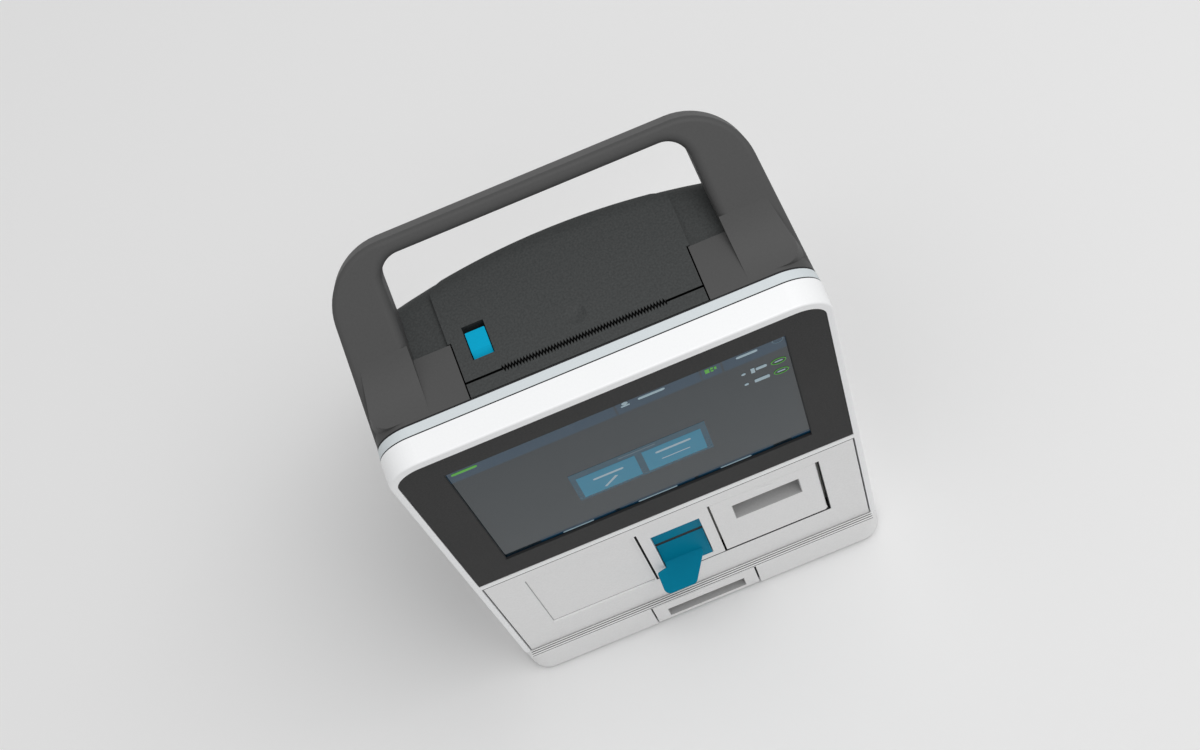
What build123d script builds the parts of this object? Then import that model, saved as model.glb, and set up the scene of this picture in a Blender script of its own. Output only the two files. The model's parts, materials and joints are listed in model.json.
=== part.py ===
from build123d import *
import os
from math import cos, radians, sin, tan

# Benchtop blood gas analyser with a leaning carry handle, a touch screen, a sample inlet,
# a sensor hatch, a pack drawer and a strip printer under a lid.
# Millimetres. While it is modelled, the front plane is y = 0, back is +y, right is +x and the
# table is z = 0. save() moves each piece so that the origin lies at the bottom centre.

# ---------------------------------------------------------------- driving dimensions
BODY_W = 244.0          # width over the white hoop
SIDE_TAPER = 0.1        # each side draws in per mm behind the hoop
FOOT_H = 3.0            # rubber feet
SKIRT_H = 35.0          # base above the feet
LOWER_H = 152.0         # lower front, from the base to the dark fascia
UPPER_H = 211.0         # upper front, from the fascia's lower edge to the top
SKIRT_STEP = 4.6        # the base stands this far in front of the front plane
SKIRT_SIDE = 1.3        # and this far out at each side
HOOP_D = 15.0           # depth of the white hoop
RING_D = 7.0            # depth of the pale strip
SHOULDER_D = 32.0       # depth of the grey shoulders behind the strip
HOOP_R = 20.0           # upper corners of the hoop
HOOP_EDGE_R = 1.2       # rounding of the hoop's front edge
LIP = 6.8               # height of the hoop's top seen from the front
SIDE_LIP = 3.8          # width of its legs
WALL = 3.0              # moulded walls
SHEET = 2.0             # folded sheet metal
RIDGE_Y = 96.0          # where the level top meets the sloping back, on the centre line
BACK_SLOPE = 65.7       # degrees from level
BACK_BOW_R = 379.0      # plan radius of the back at the ridge
RIDGE_R = 12.0          # rounding of the ridge
TOP_STEP = 3.0          # the back shell's top lies this far below the shoulders
PLINTH_MARGIN = 2.4     # the base stands out behind the back shell
PLINTH_CORNER_R = 14.0  # plan corners of the base
SEAM_W = 0.7            # black seam between hoop and pale strip
SEAM_REAR = 1.0         # black seam behind the strip
SEAM_D = 1.2
FIT = 0.2               # between fixed pieces that drop into each other
RUNNING = 0.05          # radial clearance of a pin in its bore
MOVING = 0.6            # between pieces that move past each other

HANDLE_LEAN = 36.9      # degrees of the handle's front face above level
HANDLE_FOOT_Y = 5.4     # where that face would meet the level of HANDLE_FOOT_Z
HANDLE_FOOT_Z = 373.0
HANDLE_L = 120.4        # along the leaning face, to the top
HANDLE_FOOT_W = 245.8   # over the legs at the foot
HANDLE_TOP_W = 224.0    # over the legs at the top
HANDLE_T = 24.0         # square to the leaning face
HANDLE_R = 35.5
GRIP_BAR = 9.3          # height of the top bar's face
GRIP_FOOT_W = 178.0     # between the legs at the foot
GRIP_TOP_W = 165.7
GRIP_R = 12.5
HANDLE_EDGE_R = 3.0
GRIP_EDGE_R = 5.0       # soft edge round the hand opening
FOOT_BLEND_R = 56.0     # the legs' faces run out into the shoulders
FOOT_BLEND_Y = 24.0     # where they meet them
FOOT_CORNER_R = 9.0
FOOT_WALL_IN = 5.6      # its outer walls lean in by this much

FASCIA_SET = 0.5        # fascia behind the front plane
FASCIA_T = 1.6
FASCIA_R = 15.5
SCREEN_W = 190.0
SCREEN_H = 154.8
SCREEN_UP = 26.5        # from the fascia's lower edge to the screen window
GLASS_T = 1.7
GLASS_MARGIN = 6.0      # glass inside the hoop opening
DISPLAY_T = 11.2
DISPLAY_MARGIN = 3.0
BAR_H = 5.2             # white cross bar under the fascia

PANEL_T = 5.0
PANEL_GROOVE = 1.0      # groove round the lower panel
FIELD_W = 188.4         # recessed field in the lower panel
FIELD_H = 93.6
FIELD_UP = 38.2         # from the base to the field
LABEL_D = 1.2           # depth of the bare label field
RIB_D = 3.2             # black frame behind the lower panel

INLET_W = 45.4          # light surround of the inlet
SLOT_GAP = 1.4          # dark gaps beside the surround
SET_BACK = 0.3          # surround and hatch behind the front plane
SURROUND_T = 4.5
MOUTH_W = 31.6          # blue opening
MOUTH_H = 70.6
MOUTH_UP = 47.0         # from the base to the opening
CHUTE_D = 30.0          # depth of the inlet housing
SHROUD_SET = 5.0        # fixed blue face behind the front plane
SHROUD_T = 7.0
SHROUD_H = 30.1
FLAP_GAP = 3.0          # dark slit between shroud and flap
FLAP_T = 3.0
FLAP_PIN_R = 1.0
FLAP_BARREL_R = 2.0
FLAP_PIN_Y = 7.0        # hinge behind the front plane
FLAP_PIN_DROP = 2.0     # hinge below the flap's top edge
LEVER_REACH = 17.5      # lever in front of the front plane
LEVER_ROOT_UP = 12.0    # lever root above the flap's lower edge
LEVER_DROP = 16.4       # degrees below level
LEVER_T = 3.0
LEVER_LEFT = 21.6       # the lever is wider to the left, as seen
LEVER_RIGHT = 9.8
LEVER_TIP_RIGHT = -1.2
PROBE_R = 0.8
GASKET_R = 5.0
BLOCK_H = 28.0

HATCH_T = 4.2
HATCH_GAP = 2.0         # dark gap at the hatch's right
HATCH_CORNER_R = 2.0
HATCH_PIN_R = 1.2
HATCH_PIN_Y = 3.5
HATCH_PIN_UP = 3.2      # hinge above the hatch's lower edge
HATCH_BARREL_R = 3.0
FINGER_W = 43.4         # finger slot of the hatch
FINGER_H = 26.0
FINGER_IN = 12.5        # slot from the hatch's left edge
FINGER_DROP = 15.8      # slot from the hatch's upper edge
FINGER_D = 12.0
DIMPLE_D = 1.0
BAY_D = 58.0            # depth of the sensor bay
BAY_WALL = 2.2
CASSETTE = (50.0, 36.0, 74.0)

DRAWER_GAP = 1.2        # dark gaps beside the drawer front
DRAWER_W = 70.6
DRAWER_T = 4.0
DRAWER_L = 190.0
DRAWER_SLOT_W = 53.4
DRAWER_SLOT_H = 15.8
DRAWER_SLOT_UP = 5.8
DRAWER_SLOT_D = 12.0
TRAY_WALL = 2.0
TRAY_SIDE = 3.0         # between tray and bay wall
RUNNER_H = 4.0
FLOOR_T = 1.5
PACK_MARGIN = 0.5

PRINTER_W = 130.0       # lid and tear bar
PRINTER_GAP = 0.8
TEAR_Y = 30.0           # mean line of the tear edge
TEAR_GAP = 1.3
TOOTH_PITCH = 1.7
TOOTH_DEPTH = 2.2
TEETH = 53
LID_T = 2.6
LID_EDGE = 8.0          # depth of the lid's rim
LID_LAP = 1.8           # its thin edge lies over the back shell at each side
LID_LIP_DROP = 3.8      # lower edge of the lid at the back, below its top
LID_CORNER_R = 9.0
LID_PIN_Y = 89.5
LID_PIN_DROP = 18.0     # hinge below the lid's top
LID_PIN_R = 1.5
KNUCKLE_R = 4.0
ARM = (46.0, 50.0)      # the lid's two arms reach down to the hinge between these
ARM_Y = (71.0, 77.0)    # their upright parts
ARM_GAP = 0.6
BACK_RIM_Y = 90.0       # the back shell is open in front of this, under the lid
BACK_RIM_DROP = 5.5     # and its rim lies this far below the lid's top
TEAR_T = 4.0
BUTTON = (10.8, 15.4)   # blue release button, across and along
BUTTON_X = -51.4
SPRING_W = 6.0          # leaf spring under the button
SPRING_T = 0.5
SPRING_TURNS = 4
WELL = (12.0, 19.4)     # its recess in the lid
WELL_Y = 50.9
WELL_D = 13.0
WELL_WALL = 1.6
ROLL_R = 20.0
ROLL_W = 80.0
SPINDLE_R = 6.0
PLATEN_R = 6.0
PLATEN_W = 82.0
PLATEN_Y = 40.0
PLATEN_DROP = 12.0      # platen axis below the lid's top
ROLL_Y = 54.0
ROLL_DROP = 37.0        # roll axis below the lid's top
BAY_LOW = 62.0          # printer bay's underside below the lid's top

SHAFT_R = 2.0
CHEEK_W = 5.4           # hinge cheeks beside the lid's arms

FOOT_R = 9.0
FOOT_IN = 22.0          # feet inside the body's sides
FOOT_FRONT = 18.0
FOOT_REAR = 222.0
SCREW_R = 1.5
SCREW_HEAD_R = 3.0
SCREW_HEAD_H = 1.4
BOARD_POST_R = 3.5
BOARD_T = 1.6
RIM_W = 5.0             # rear rim round the lower panel's opening
LEDGE_W = 1.5           # seat inside that rim
LUG_W = 2.9
HATCH_WALL = 1.6
RIB_BASE = 1.0
RIB_RISE = 0.8

RECESS_W = 124.0        # connector recess at the back
RECESS_H = 50.0
RECESS_UP = 10.0        # above the base
RECESS_IN = 40.0        # in front of the back shell's lower edge
ROCKER_H = 8.0
FAN_W = 60.0
FAN_R = 27.0
FAN_T = 15.0
FAN_UP = 102.0          # fan axis above the base
VENT_W = 70.0
VENT_H = 3.0
VENT_PITCH = 7.0
VENTS = 9
BOARD = (156.0, 106.0)   # main circuit board
BOARD_UP = 12.0         # above the screen window's lower edge
POST_IN = 8.0
CHASSIS_W = 188.0
CHASSIS_H = 170.0
POWER = (84.0, 92.0, 52.0)
BATTERY = (84.0, 76.0, 40.0)
INNER_GAP = 12.0        # power supply and battery from the centre line
PUMP_X = -60.0
PUMP_R = 22.0
PUMP_MOTOR_L = 24.0
PUMP_HEAD_L = 20.0

# ---------------------------------------------------------------- levels and places
HALF = BODY_W / 2
BASE_Z = FOOT_H
DECK_Z = BASE_Z + SKIRT_H
FASCIA_Z = DECK_Z + LOWER_H
TOP_Z = FASCIA_Z + UPPER_H
RING_Y = HOOP_D
FRAME_Y = HOOP_D + RING_D
SHELL_Y = FRAME_Y + SHOULDER_D
SHELL_TOP = TOP_Z - TOP_STEP
OPEN_HALF = HALF - SIDE_LIP
BOW_Y = RIDGE_Y - BACK_BOW_R
BACK_RUN = 1 / tan(radians(BACK_SLOPE))
SHELL_REAR = RIDGE_Y + (SHELL_TOP - DECK_Z) * BACK_RUN
PLINTH_REAR = SHELL_REAR + PLINTH_MARGIN
MID_Y = (PLINTH_REAR - LEVER_REACH) / 2

FIELD_Z = DECK_Z + FIELD_UP
FIELD_TOP = FIELD_Z + FIELD_H
FIELD_X = FIELD_W / 2
MOUTH_Z = DECK_Z + MOUTH_UP
MOUTH_TOP = MOUTH_Z + MOUTH_H
PLATE_Z = FIELD_Z + DRAWER_GAP
PLATE_TOP = FIELD_TOP - MOVING
CHUTE_HALF = MOUTH_W / 2 + 4.0
HATCH_X0 = INLET_W / 2 + SLOT_GAP
HATCH_X1 = FIELD_X - HATCH_GAP
LID_REAR = RIDGE_Y + 0.6
HATCH_PIN_Z = PLATE_Z + HATCH_PIN_UP
LID_HALF = PRINTER_W / 2
LID_PIN_Z = TOP_Z - LID_PIN_DROP
PLATEN_Z = TOP_Z - PLATEN_DROP
BAY_Z = TOP_Z - BAY_LOW
UPRIGHT_Y = PANEL_T + RIB_D + BAY_D + SHEET
FLAP_TOP = MOUTH_TOP - SHROUD_H - FLAP_GAP
FLAP_PIN_Z = FLAP_TOP - FLAP_PIN_DROP
PROBE_Z = MOUTH_Z + LEVER_ROOT_UP
ROLL_Z = TOP_Z - ROLL_DROP
BUTTON_Z = TOP_Z - WELL_D + 5.5
BUTTON_Y = WELL_Y + WELL[1] / 2 - 3.6 - BUTTON[1] / 2
BOARD_Y = HOOP_D + SHEET + 5.0
RECESS_Y = SHELL_REAR - RECESS_IN
RECESS_Z = DECK_Z + RECESS_UP
FAN_Z = DECK_Z + FAN_UP
FAN_Y = RIDGE_Y + (SHELL_TOP - FAN_Z - FAN_W / 2) * BACK_RUN - 2 * WALL - FAN_T
PUMP_Z = (FIELD_Z + FIELD_TOP) / 2


# ---------------------------------------------------------------- small builders
def block(x0, x1, y0, y1, z0, z1):
    """Box between two corners."""
    place = Pos((x0 + x1) / 2, (y0 + y1) / 2, (z0 + z1) / 2)
    return place * Box(x1 - x0, y1 - y0, z1 - z0)


def rod_x(y, z, r, x0, x1):
    return Pos((x0 + x1) / 2, y, z) * Rot(0, 90, 0) * Cylinder(r, x1 - x0)


def rod_y(x, z, r, y0, y1):
    return Pos(x, (y0 + y1) / 2, z) * Rot(90, 0, 0) * Cylinder(r, y1 - y0)


def rod_z(x, y, r, z0, z1):
    return Pos(x, y, (z0 + z1) / 2) * Cylinder(r, z1 - z0)


def front_face(x0, x1, z0, z1, r_low=0.0, r_high=0.0):
    """Rectangle in the plane of the front, with its own lower and upper corner radii."""
    face = Pos((x0 + x1) / 2, (z0 + z1) / 2) * Rectangle(x1 - x0, z1 - z0)
    if r_low > 0:
        face = fillet(face.vertices().group_by(Axis.Y)[0], r_low)
    if r_high > 0:
        face = fillet(face.vertices().group_by(Axis.Y)[-1], r_high)
    return face


def upright(face, y0, y1):
    """A face drawn in x and z, made solid from y0 to y1."""
    return extrude(Plane.XZ.offset(-y1) * face, y1 - y0)


def outline(points):
    return make_face(Polyline(*points, close=True))


def sideways(face, x0, x1):
    """A face drawn in y and z, made solid from x0 to x1."""
    return extrude(Plane.YZ.offset(x0) * face, x1 - x0)


def flat(face, z0, z1):
    """A face drawn in x and y, made solid from z0 to z1."""
    return extrude(Pos(0, 0, z0) * face, z1 - z0)


def oval_dimple(x, y, z, wide, high, deep):
    """Shallow oval cutter with sloping sides, sunk into a front face at y."""
    rim, bed = [Plane.XZ.offset(-y - d) * (Pos(x, z) * Ellipse(wide / 2 * k, high / 2 * k))
                for d, k in ((0, 1.0), (deep, 0.45))]
    return loft([rim, bed], ruled=True)


def save(name, shape):
    os.makedirs("parts", exist_ok=True)
    solids = [Pos(0, -MID_Y, 0) * s for s in shape.solids()]
    whole = solids[0] if len(solids) == 1 else Compound(children=solids)
    whole.label = name
    export_step(whole, f"parts/{name}.step")
    print(name, len(solids), round(sum(s.volume for s in solids)))


# ---------------------------------------------------------------- body forms
def half_at(y):
    """Half width of the body, which draws in behind the hoop."""
    return HALF - SIDE_TAPER * max(0.0, y - HOOP_D)


def hoop(inset, z0, z1, r, y0, y1):
    """Slice of the body, with rounded upper corners."""
    ends = [Plane.XZ.offset(-y) * front_face(inset - half_at(y), half_at(y) - inset, z0, z1, 0, r)
            for y in (y0, y1)]
    return loft(ends, ruled=True)


def body_core(inset, top, y0, y1):
    """The body's cross-section seen from the front, inset from the outside."""
    return hoop(inset, DECK_Z, top - inset, max(HOOP_R - inset, 1.0), y0, y1)


def back_form(inset, top, ridge, ridge_r, low):
    """Level top and sloping back turned about a vertical axis, so that the back bows out."""
    corner_y = ridge - inset * tan(radians(BACK_SLOPE / 2))
    foot_y = corner_y + (top - inset - low) * BACK_RUN
    profile = outline([(0, low), (foot_y, low), (corner_y, top - inset), (0, top - inset)])
    corner = profile.vertices().group_by(Axis.Y)[-1].sort_by(Axis.X)[-1]
    profile = fillet(corner, max(ridge_r - inset, 2.0))
    axis = Axis((0, BOW_Y, 0), (0, 0, 1))
    start = (Plane.YZ * profile).rotate(axis, -25)
    return revolve(start, axis, 50)


def shell_outer():
    return back_form(0, SHELL_TOP, RIDGE_Y, RIDGE_R, DECK_Z) & body_core(
        0, SHELL_TOP, SHELL_Y, PLINTH_REAR)


def shell_inner():
    return back_form(WALL, SHELL_TOP, RIDGE_Y, RIDGE_R, DECK_Z) & body_core(
        WALL, SHELL_TOP, SHELL_Y, PLINTH_REAR)


def front_frame():
    frame = hoop(0, DECK_Z, TOP_Z, HOOP_R, 0, HOOP_D)
    rim = [e for e in frame.edges().group_by(Axis.Y)[0] if e.center().Z > DECK_Z + 1]
    frame = fillet(rim, HOOP_EDGE_R)
    upper = front_face(-OPEN_HALF, OPEN_HALF, FASCIA_Z, TOP_Z - LIP, 0, FASCIA_R + FIT)
    frame -= upright(upper, 0, HOOP_D)
    lower_top = FASCIA_Z - BAR_H
    lower = front_face(-OPEN_HALF, OPEN_HALF, DECK_Z, lower_top)
    frame -= upright(lower, 0, PANEL_T + FIT)
    frame -= block(-OPEN_HALF, OPEN_HALF, 0, HOOP_D, DECK_Z + 2 * WALL, lower_top)
    return frame


def ring_core(y0, y1):
    return hoop(SEAM_D, DECK_Z, TOP_Z - SEAM_D, HOOP_R - SEAM_D, y0, y1)


def accent_ring():
    """Thin pale strip round the body, between two black seams."""
    ring = hoop(0, DECK_Z, TOP_Z, HOOP_R, RING_Y + SEAM_W, FRAME_Y - SEAM_REAR)
    return ring - ring_core(RING_Y, FRAME_Y)


def seam_gasket():
    """Black ring that carries the pale strip and shows in the seams beside it."""
    opening = front_face(-OPEN_HALF, OPEN_HALF, DECK_Z + 2 * WALL, TOP_Z - LIP, 0, FASCIA_R + FIT)
    return ring_core(RING_Y, FRAME_Y) - upright(opening, RING_Y, FRAME_Y)


def handle_plane():
    lean = radians(HANDLE_LEAN)
    return Plane(origin=(0, HANDLE_FOOT_Y, HANDLE_FOOT_Z), x_dir=(1, 0, 0),
                 z_dir=(0, -sin(lean), cos(lean)))


def handle_slab(foot_w, top_w, length, r, low, high):
    """Tapered slab between two heights above the leaning face, carried on below its foot."""
    below = HANDLE_L / 3
    gain = (foot_w - top_w) / 2 / HANDLE_L
    wide, narrow = foot_w / 2 + gain * below, foot_w / 2 - gain * length
    face = outline([(-wide, -below), (wide, -below), (narrow, length), (-narrow, length)])
    face = fillet(face.vertices().group_by(Axis.Y)[-1], r)
    return extrude(handle_plane().offset(low) * face, high - low)


def leg_half(y):
    """Outer half width over the legs, at y along their leaning face."""
    along = (y - HANDLE_FOOT_Y) / cos(radians(HANDLE_LEAN))
    return (HANDLE_FOOT_W - (HANDLE_FOOT_W - HANDLE_TOP_W) * along / HANDLE_L) / 2


def foot_blend():
    """Concave run-out of the legs' faces into the level shoulders, with leaning outer walls."""
    lean = radians(HANDLE_LEAN)
    y0, y1 = FOOT_BLEND_Y, FOOT_BLEND_Y + FOOT_BLEND_R * sin(lean)
    z1 = TOP_Z + FOOT_BLEND_R * (1 - cos(lean))
    middle = (y0 + FOOT_BLEND_R * sin(lean / 2), TOP_Z + FOOT_BLEND_R * (1 - cos(lean / 2)))
    deep = HANDLE_T / 2
    profile = make_face([ThreePointArc((y0, TOP_Z), middle, (y1, z1)),
                         Line((y1, z1), (y1, z1 - deep)),
                         Line((y1, z1 - deep), (y0, TOP_Z - deep)),
                         Line((y0, TOP_Z - deep), (y0, TOP_Z))])
    levels = []
    for z, inset in ((TOP_Z - deep, 0.0), (z1 + 2, FOOT_WALL_IN)):
        low, high = leg_half(y0) - inset, leg_half(y1) - inset
        face = outline([(-low, y0), (low, y0), (high, y1), (-high, y1)])
        levels.append(Pos(0, 0, z) * fillet(face.vertices().group_by(Axis.Y)[0], FOOT_CORNER_R))
    return sideways(profile, -HALF, HALF) & loft(levels, ruled=True)


def grip_cut():
    return handle_slab(GRIP_FOOT_W, GRIP_TOP_W, HANDLE_L - GRIP_BAR, GRIP_R,
                       -HANDLE_T, HANDLE_T * 2)


def handle_loop():
    """The handle's bow under its leaning face, with the hand opening cut out."""
    rim = handle_slab(HANDLE_FOOT_W, HANDLE_TOP_W, HANDLE_L, HANDLE_R, -HANDLE_T, 0)
    loop = fillet(long_edges(rim), HANDLE_EDGE_R) - grip_cut()
    plane = handle_plane()
    front = [e for e in loop.edges() if abs(plane.to_local_coords(e.center()).Z) < 0.01]
    inner = [e for e in front if plane.to_local_coords(e.center()).Y < HANDLE_L - GRIP_BAR + 1
             and abs(e.center().X) < GRIP_FOOT_W / 2 + 1
             and all(plane.to_local_coords(v.center()).Y > -HANDLE_L / 3 - 0.1
                     and abs(v.center().X) < GRIP_FOOT_W / 2 + 4 for v in e.vertices())
             and plane.to_local_coords(e.center()).Y > -HANDLE_L / 3 + 0.1]
    return fillet(inner, GRIP_EDGE_R) + (foot_blend() - grip_cut())





def long_edges(slab):
    """Edges that run round the slab's two faces, without those of its cut foot."""
    plane = handle_plane()
    chosen = []
    for edge in slab.edges():
        ends = [plane.to_local_coords(v.center()) for v in edge.vertices()]
        on_face = abs(ends[0].Z - ends[-1].Z) < 0.01
        at_foot = all(p.Y < -HANDLE_L / 3 + 0.1 for p in ends)
        if on_face and not at_foot:
            chosen.append(edge)
    return chosen


def handle_frame():
    frame = hoop(0, DECK_Z, TOP_Z, HOOP_R, FRAME_Y, SHELL_Y)
    inner = hoop(WALL, DECK_Z + 2 * WALL, TOP_Z - WALL, HOOP_R - WALL, FRAME_Y, SHELL_Y)
    legs = handle_loop() & hoop(0, DECK_Z, TOP_Z + HANDLE_L, HOOP_EDGE_R, FRAME_Y, PLINTH_REAR)
    legs -= back_form(0, SHELL_TOP, RIDGE_Y, RIDGE_R, DECK_Z) & body_core(
        0, SHELL_TOP, FRAME_Y, PLINTH_REAR)
    legs -= inner
    frame = frame + legs - inner
    gap = LID_HALF + PRINTER_GAP
    frame -= block(-gap, gap, FRAME_Y, SHELL_Y, TOP_Z - 2 * HOOP_R, TOP_Z)
    return frame


def lid_plan(half, front, reach, r):
    """Straight front and sides and a bowed rear, reach being the rear on the centre line."""
    face = Pos(0, (front + PLINTH_REAR) / 2) * Rectangle(2 * half, PLINTH_REAR - front)
    face &= Pos(0, BOW_Y) * Circle(reach - BOW_Y)
    return fillet(face.vertices().group_by(Axis.Y)[-1], r)


def rear_housing():
    shell = shell_outer() - shell_inner()
    gap = LID_HALF + PRINTER_GAP
    shell -= flat(lid_plan(gap, SHELL_Y, BACK_RIM_Y, LID_CORNER_R), LID_PIN_Z, TOP_Z)
    shell -= flat(lid_plan(gap, SHELL_Y, PLINTH_REAR, 1.0) & lid_plan(
        gap, SHELL_Y, LID_REAR + LID_CORNER_R, LID_CORNER_R), TOP_Z - BACK_RIM_DROP, TOP_Z)
    half, z0, z1 = RECESS_W / 2, RECESS_Z, RECESS_Z + RECESS_H
    pocket = block(-half - WALL, half + WALL, RECESS_Y - WALL, PLINTH_REAR, z0 - WALL, z1 + WALL)
    shell += pocket & shell_outer()
    shell -= block(-half, half, RECESS_Y, PLINTH_REAR, z0, z1)
    for x0, x1, low, high in connector_cuts().values():
        shell -= block(x0, x1, RECESS_Y - WALL, RECESS_Y, low, high)
    for i in range(VENTS):
        z = FAN_Z + (i - (VENTS - 1) / 2) * VENT_PITCH
        shell -= block(-VENT_W / 2, VENT_W / 2, FAN_Y + FAN_T, PLINTH_REAR,
                       z - VENT_H / 2, z + VENT_H / 2)
    return shell


# ---------------------------------------------------------------- screen
def screen_fascia():
    half = OPEN_HALF - FIT
    y0 = FASCIA_SET
    plate = upright(front_face(-half, half, FASCIA_Z + FIT, TOP_Z - LIP - FIT, 0, FASCIA_R),
                    y0, y0 + FASCIA_T)
    low = FASCIA_Z + SCREEN_UP
    window = front_face(-SCREEN_W / 2, SCREEN_W / 2, low, low + SCREEN_H)
    return plate - upright(window, y0, y0 + FASCIA_T)


def behind_window(margin, y0, thick):
    low = FASCIA_Z + SCREEN_UP
    half = SCREEN_W / 2 + margin
    return block(-half, half, y0, y0 + thick, low - margin, low + SCREEN_H + margin)


def touch_glass():
    return behind_window(GLASS_MARGIN, FASCIA_SET + FASCIA_T, GLASS_T)


def display_panel():
    return behind_window(DISPLAY_MARGIN, FASCIA_SET + FASCIA_T + GLASS_T, DISPLAY_T)


def board_posts():
    """Four posts of the circuit board, in x and z."""
    low = FASCIA_Z + SCREEN_UP
    wide, high = BOARD
    return [(x, z) for x in (-wide / 2 + POST_IN, wide / 2 - POST_IN)
            for z in (low + BOARD_UP + POST_IN, low + BOARD_UP + high - POST_IN)]


def display_carrier():
    y0 = HOOP_D
    half = OPEN_HALF - FIT
    plate = upright(front_face(-half, half, FASCIA_Z + FIT, TOP_Z - LIP - FIT, 0, FASCIA_R),
                    y0, y0 + SHEET)
    for x in (-95, 95):
        plate -= block(x - 10, x + 10, y0, y0 + SHEET, FASCIA_Z + 30, FASCIA_Z + 160)
    for x, z in board_posts():
        plate += rod_y(x, z, BOARD_POST_R, y0 + SHEET, BOARD_Y)
        plate -= rod_y(x, z, SCREW_R, y0 + SHEET, BOARD_Y)
    return plate


def main_board():
    wide, high = BOARD
    low = FASCIA_Z + SCREEN_UP + BOARD_UP
    board = block(-wide / 2, wide / 2, BOARD_Y, BOARD_Y + BOARD_T, low, low + high)
    for x, z in board_posts():
        board -= rod_y(x, z, SCREW_R, BOARD_Y, BOARD_Y + BOARD_T)
    y1 = BOARD_Y + BOARD_T
    for x, z, w, h, d in ((-0.2, 0.45, 30, 30, 3), (0.16, 0.55, 18, 18, 2.4), (0.16, 0.26, 24, 12, 2),
                          (-0.32, 0.83, 30, 6, 5), (0.29, 0.83, 34, 6, 5), (-0.06, 0.12, 40, 8, 6)):
        mid_x, mid_z = x * wide, low + z * high
        board += block(mid_x - w / 2, mid_x + w / 2, y1, y1 + d, mid_z - h / 2, mid_z + h / 2)
    return board


def screw(length):
    """Pan-head screw along +z, head underside at z = 0."""
    body = Pos(0, 0, -length / 2) * Cylinder(SCREW_R - RUNNING, length)
    head = Pos(0, 0, SCREW_HEAD_H / 2) * Cylinder(SCREW_HEAD_R, SCREW_HEAD_H)
    slot = Pos(0, 0, SCREW_HEAD_H) * Box(2 * SCREW_HEAD_R, 0.7, 1.0)
    return body + head - slot


def board_screws():
    return Compound(children=[Pos(x, BOARD_Y + BOARD_T, z) * Rot(-90, 0, 0) * screw(BOARD_T + 3)
                              for x, z in board_posts()])


# ---------------------------------------------------------------- lower front
def aperture(margin):
    """The through opening of the lower panel, behind the inlet and the hatch."""
    return front_face(-HATCH_X0 - margin, FIELD_X + margin, FIELD_Z - margin, FIELD_TOP + margin)


def front_panel():
    half = OPEN_HALF - PANEL_GROOVE
    top = FASCIA_Z - BAR_H - PANEL_GROOVE
    panel = upright(front_face(-half, half, DECK_Z + PANEL_GROOVE / 2, top), 0, PANEL_T)
    panel = fillet(panel.edges().group_by(Axis.Y)[0], 0.6)
    panel -= upright(aperture(0), 0, PANEL_T)
    panel -= block(-FIELD_X, -HATCH_X0 - PANEL_GROOVE, 0, LABEL_D, FIELD_Z, FIELD_TOP)
    return panel - rod_x(HATCH_PIN_Y, HATCH_PIN_Z, HATCH_PIN_R, FIELD_X, FIELD_X + LUG_W)


def panel_backing():
    """Black frame behind the panel's opening, which shows in the gaps round inlet and hatch."""
    y0, y1 = PANEL_T, PANEL_T + RIB_D
    frame = upright(aperture(RIM_W), y0, y1)
    seat = front_face(-HATCH_X0 + LEDGE_W, FIELD_X, FIELD_Z, FIELD_TOP - LEDGE_W)
    frame -= upright(seat, y0, y1)
    return frame + block(-HATCH_X0, INLET_W / 2 - LUG_W - 1, y0, y1, FIELD_Z, FIELD_Z + LEDGE_W)


def inlet_bezel():
    half = INLET_W / 2
    y0, y1 = SET_BACK, SET_BACK + SURROUND_T
    plate = upright(front_face(-half, half, PLATE_Z, PLATE_TOP, 0.8, 0.8), y0, y1)
    wall = CHUTE_HALF - MOUTH_W / 2
    plate += block(-CHUTE_HALF, CHUTE_HALF, y1, y1 + CHUTE_D, MOUTH_Z - wall, MOUTH_TOP + wall)
    plate += rod_x(HATCH_PIN_Y, HATCH_PIN_Z, HATCH_BARREL_R, half - LUG_W, half)
    mouth = front_face(-MOUTH_W / 2, MOUTH_W / 2, MOUTH_Z, MOUTH_TOP)
    plate -= upright(mouth, y0, y1 + CHUTE_D - BAY_WALL)
    plate -= rod_y(0, PROBE_Z, GASKET_R, y1 + CHUTE_D - BAY_WALL, y1 + CHUTE_D)
    plate -= rod_x(FLAP_PIN_Y, FLAP_PIN_Z, FLAP_PIN_R, -CHUTE_HALF, CHUTE_HALF)
    return plate - rod_x(HATCH_PIN_Y, HATCH_PIN_Z, HATCH_PIN_R, half - LUG_W - 1, half)


def inlet_shroud():
    half = MOUTH_W / 2 - FIT
    y0 = SHROUD_SET
    face = block(-half, half, y0, y0 + SHROUD_T, MOUTH_TOP - SHROUD_H, MOUTH_TOP - FIT)
    face = fillet(face.edges().filter_by(Axis.X).group_by(Axis.Y)[0].sort_by(Axis.Z)[0], 0.5)
    return face


def slit_seal():
    """Black lip under the shroud, in the slit above the flap."""
    half = MOUTH_W / 2 - FIT
    y0 = SHROUD_SET + 0.6
    low = FLAP_PIN_Z + (FLAP_PIN_DROP ** 2 + (FLAP_PIN_Y - SHROUD_SET) ** 2) ** 0.5 + MOVING / 2
    return block(-half, half, y0, y0 + 3.0, low, MOUTH_TOP - SHROUD_H)


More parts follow.
